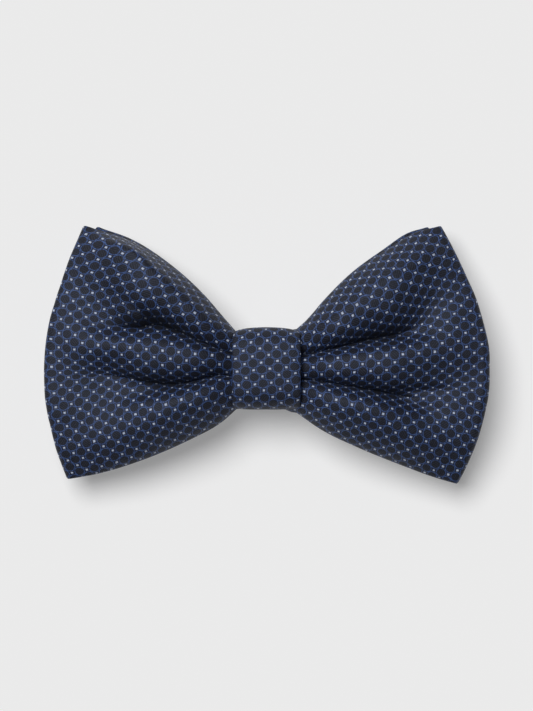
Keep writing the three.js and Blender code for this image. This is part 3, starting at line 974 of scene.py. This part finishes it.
def wound_thread():
    """The gathering thread, wound round the middle of both bows."""
    low, high = node_place("gather_thread")
    radius = 0.17
    turns, steps = 9, 48
    half_y = (high[1] - low[1]) / 2 - radius
    y, z, _ = knot_path(half_y, low[2] + radius, high[2] - radius, 2.4, 2.4, 0, steps)
    path = []
    for turn in range(turns):
        for k in range(steps):
            x = low[0] + radius + (high[0] - low[0] - 2 * radius) * (turn + k / steps) / turns
            path.append((x, (low[1] + high[1]) / 2 + y[k], z[k]))
    return tube("gathering_thread", path, radius)


gathering = wound_thread()
dress(gathering, THREAD)
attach(gathering, "bow")
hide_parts("gather_thread")
bar_tack("knot_stitches", "knot_tack", "bow")


# ---- Neckband --------------------------------------------------------------------
BAND_LOW, BAND_HIGH = KNOT_Y - BAND_HALF, KNOT_Y + BAND_HALF
HALF_BAND = 0.45  # half the thickness of the band, which is a flat tube of silk
BEND_REACH = 1.0  # how far a bend reaches past the runs it joins


def band(name, path, along_from, half=HALF_BAND):
    """A length of the neckband that follows a path of (x, z) points."""
    p = np.array(path, float)
    across = np.linspace(BAND_LOW + half, BAND_HIGH - half, 19)
    rows = np.zeros((len(p), len(across), 3))
    rows[..., 0], rows[..., 2] = p[:, :1], p[:, 1:]
    rows[..., 1] = across
    run = along_from + np.concatenate([[0], np.cumsum(np.linalg.norm(np.diff(p, axis=0), axis=1))])
    piece = strip(name, rows, half, run[:, None], across[None, :] - KNOT_Y)
    dress(piece, SILK)
    return piece, run[-1]


def straight(x_from, x_to, z, wave=0.0, step=1.6):
    count = max(2, int(abs(x_to - x_from) / step) + 1)
    xs = np.linspace(x_from, x_to, count)
    ends = np.sqrt(np.clip(np.sin(np.pi * (xs - x_from) / (x_to - x_from)), 0, 1))
    return list(zip(xs, z + wave * ends * np.sin(xs * 0.21)))


def fold_back(x, side, z_top, z_low):
    """The bend where the band turns back under itself."""
    a = np.linspace(0, np.pi, 17)
    out = x + side * BEND_REACH * np.sin(a)
    return list(zip(out, (z_top + z_low) / 2 + (z_top - z_low) / 2 * np.cos(a)))


BAND_LEVEL = {
    "neckband_centre": 9.9,
    "left_band_second_run": 7.45,
    "left_band_third_run": 4.4,
    "left_band_end_run": 0.5,
    "right_band_second_run": 7.45,
    "right_band_third_run": 6.1,
    "right_band_end_run": 3.7,
}


def bend_between(name, upper, lower, x, side, along_from):
    """The bend from one run to the next, between the two runs it joins."""
    z_top, z_low = BAND_LEVEL[upper], BAND_LEVEL[lower]
    piece, far = band(name, fold_back(x, side, z_top, z_low), along_from)
    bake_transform(piece)
    return piece, far


def lay_run(node, name, body, path, along_from):
    """One run of the band. A run that stretches rides on no one body."""
    piece, far = band(name, path, along_from)
    if body:
        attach(piece, body)
    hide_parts(node)
    return piece


OUTER, INNER = 55.2, 3.5  # where the runs turn back, out from the middle
WAVE = 0.1
LOW_LEVEL = 0.5  # the lowest runs lie on the surface
SECOND_FROM, THIRD_FROM, END_FROM = 58.0, 113.0, 168.0  # where each run starts on the cloth
TURN_FROM, RETURN_FROM, SLIDER_FROM = 199.0, 210.0, 213.0
last_bends = {}
for side, label in ((-1, "left"), (1, "right")):
    second, third = label + "_band_second_run", label + "_band_third_run"
    lowest = label + "_band_end_run"
    second_body, third_body, end_body = label + "_second", label + "_third", label + "_end"
    near, far = side * INNER, side * OUTER
    first_bend, at = bend_between(
        label + "_first_bend", "neckband_centre", second, far, side, OUTER
    )
    middle_bend, at = bend_between(
        label + "_middle_bend", second, third, near, -side, at + OUTER - INNER
    )
    last_bends[label], _ = bend_between(
        label + "_last_bend", third, lowest, far, side, at + OUTER - INNER
    )
    inward = straight(far, near, BAND_LEVEL[second], WAVE)
    outward = straight(near, far, BAND_LEVEL[third], WAVE)
    lay_run(second, label + "_band_second", second_body, inward, SECOND_FROM)
    lay_run(third, label + "_band_third", third_body, outward, THIRD_FROM)
behind_knot = straight(-OUTER, OUTER, BAND_LEVEL["neckband_centre"], WAVE)
lay_run("neckband_centre", "band_behind_knot", "bow", behind_knot, -OUTER)


def loop_round(x, z, radius, side, begin, end, steps=20):
    """Points round a bar: from straight below it, round its far side, and back."""
    a = np.radians(np.linspace(begin, end, steps))
    return list(zip(x + side * radius * np.sin(a), z - radius * np.cos(a)))


left_end_path = (
    straight(-OUTER, -19.0, LOW_LEVEL)
    + [(-17.2, 0.46)]
    + loop_round(-14.5, 1.45, 1.0, 1, -8, 262)
    + [(-16.2, 1.32), (-17.4, 1.4)]
)
lay_run("left_band_end_run", "left_band_end", "left_end", left_end_path, END_FROM)
bar_tack("left_loop_stitches", "left_loop_bartack", "left_end")

right_level = BAND_LEVEL["right_band_end_run"]
right_path = straight(OUTER, 24.4, right_level, step=1.0)
right_end = lay_run(
    "right_band_end_run", "right_band_end", None, right_path, END_FROM
)
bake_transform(right_end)

turned_path = (
    [(24.4, 3.7), (23.2, 3.7)]
    + loop_round(22.0, 2.1, 1.6, -1, 180, 0, 24)
    + [(23.2, 0.5), (24.3, 0.5)]
)
turned, _ = band("adjuster_turn", turned_path, TURN_FROM)
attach(turned, "adjuster_loop")
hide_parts("adjuster_turned_loop")
back_strap, _ = band("adjuster_return", straight(24.3, 27.0, LOW_LEVEL, step=0.3), RETURN_FROM)
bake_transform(back_strap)
slider_path = (
    [(27.0, 0.5), (27.8, 0.46)]
    + loop_round(29.5, 1.45, 1.1, 1, -8, 262)
    + [(27.8, 1.32), (26.6, 1.4)]
)
slider_band, _ = band("slider_band_end", slider_path, SLIDER_FROM, half=0.3)
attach(slider_band, "slider")
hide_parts("slider_end_loop")
bar_tack("slider_loop_stitches", "slider_loop_bartack", "slider")


# ---- Metal fittings --------------------------------------------------------------
def nickel_material():
    material, tree, shader = new_material("bright_nickel")
    m = Maths(tree)
    place = tree.nodes.new("ShaderNodeTexCoord")
    haze = m.node("ShaderNodeTexNoise", place.outputs["Object"])
    haze.inputs["Scale"].default_value = 260
    haze.inputs["Detail"].default_value = 4
    brushed = tree.nodes.new("ShaderNodeMapping")
    brushed.inputs["Scale"].default_value = (3000, 260, 900)
    tree.links.new(place.outputs["Object"], brushed.inputs["Vector"])
    lines = m.node("ShaderNodeTexNoise", brushed.outputs["Vector"])
    lines.inputs["Scale"].default_value = 1
    rough = m.smooth(haze.outputs[0], 0.3, 0.7, 0.2, 0.34)
    tree.links.new(rough, shader.inputs["Roughness"])
    colour = mixed(m, haze.outputs[0], (0.55, 0.54, 0.51, 1), (0.66, 0.65, 0.62, 1))
    tree.links.new(colour, shader.inputs["Base Color"])
    shader.inputs["Metallic"].default_value = 1.0
    bump = tree.nodes.new("ShaderNodeBump")
    bump.inputs["Strength"].default_value = 0.12
    bump.inputs["Distance"].default_value = 0.00003
    tree.links.new(lines.outputs[0], bump.inputs["Height"])
    tree.links.new(bump.outputs["Normal"], shader.inputs["Normal"])
    return material


NICKEL = nickel_material()


EASED_EDGE = 0.12


def fitting(node, name, body):
    """A pressed or bent metal part with its edges eased."""
    mesh = bpy.data.objects[node].data.copy()
    mesh.name = name
    work = bmesh.new()
    work.from_mesh(mesh)
    bmesh.ops.remove_doubles(work, verts=work.verts, dist=1e-6)
    bmesh.ops.dissolve_limit(work, angle_limit=math.radians(2), verts=work.verts, edges=work.edges)
    work.to_mesh(mesh)
    work.free()
    piece = bpy.data.objects.new(name, mesh)
    scene.collection.objects.link(piece)
    eased = piece.modifiers.new("eased_edges", "BEVEL")
    eased.width = EASED_EDGE * MM
    eased.segments = 2
    eased.limit_method = "ANGLE"
    eased.angle_limit = math.radians(50)
    mesh.shade_smooth()
    with bpy.context.temp_override(
        active_object=piece,
        object=piece,
        selected_objects=[piece],
        selected_editable_objects=[piece],
    ):
        bpy.ops.object.shade_smooth_by_angle(angle=math.radians(40))
    dress(piece, NICKEL)
    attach(piece, body)
    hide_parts(node)


fitting("eye", "eye_plate", "eye")
fitting("hook", "hook_plate", "hook")
fitting("slider", "slider_frame", "slider")


# ---- Floor, light and camera -----------------------------------------------------
FLOOR_SIZE, FLOOR_GAP = 3, 0.0002
SENSOR_WIDTH = 36
DISTANCE = 1.1  # from the camera to the plane it looks at
VIEWED_HEIGHT = 0.012  # how high that plane is
VIEWED_WIDTH = 0.1939  # how much of that plane the sensor's width takes in
bpy.ops.mesh.primitive_plane_add(size=FLOOR_SIZE, location=(0, 0, -FLOOR_GAP))
floor = bpy.context.object
floor.name = "floor"
paper, tree, shader = new_material("pale_floor")
shader.inputs["Base Color"].default_value = (0.69, 0.69, 0.69, 1)
shader.inputs["Emission Color"].default_value = (1, 1, 1, 1)
shader.inputs["Emission Strength"].default_value = 0.27
shader.inputs["Roughness"].default_value = 0.9
shader.inputs["Specular IOR Level"].default_value = 0.2
floor.data.materials.append(paper)

sun_data = bpy.data.lights.new("soft_sun", "SUN")
sun_data.energy = 2.62
sun_data.angle = math.radians(34)
sun = bpy.data.objects.new("soft_sun", sun_data)
scene.collection.objects.link(sun)
sun.rotation_mode = "QUATERNION"
sun.rotation_quaternion = Vector((0.28, -0.34, -1)).to_track_quat("-Z", "Y")
world = bpy.data.worlds.new("studio")
scene.world = world
world.use_nodes = True
world.node_tree.nodes["Background"].inputs["Color"].default_value = (1, 1, 1, 1)
world.node_tree.nodes["Background"].inputs["Strength"].default_value = 0.04

camera_data = bpy.data.cameras.new("camera")
camera = bpy.data.objects.new("camera", camera_data)
scene.collection.objects.link(camera)
camera.location = (0, 0, DISTANCE + VIEWED_HEIGHT)
camera_data.sensor_width = SENSOR_WIDTH
camera_data.lens = SENSOR_WIDTH * DISTANCE / VIEWED_WIDTH
camera_data.clip_start = 0.05
scene.camera = camera
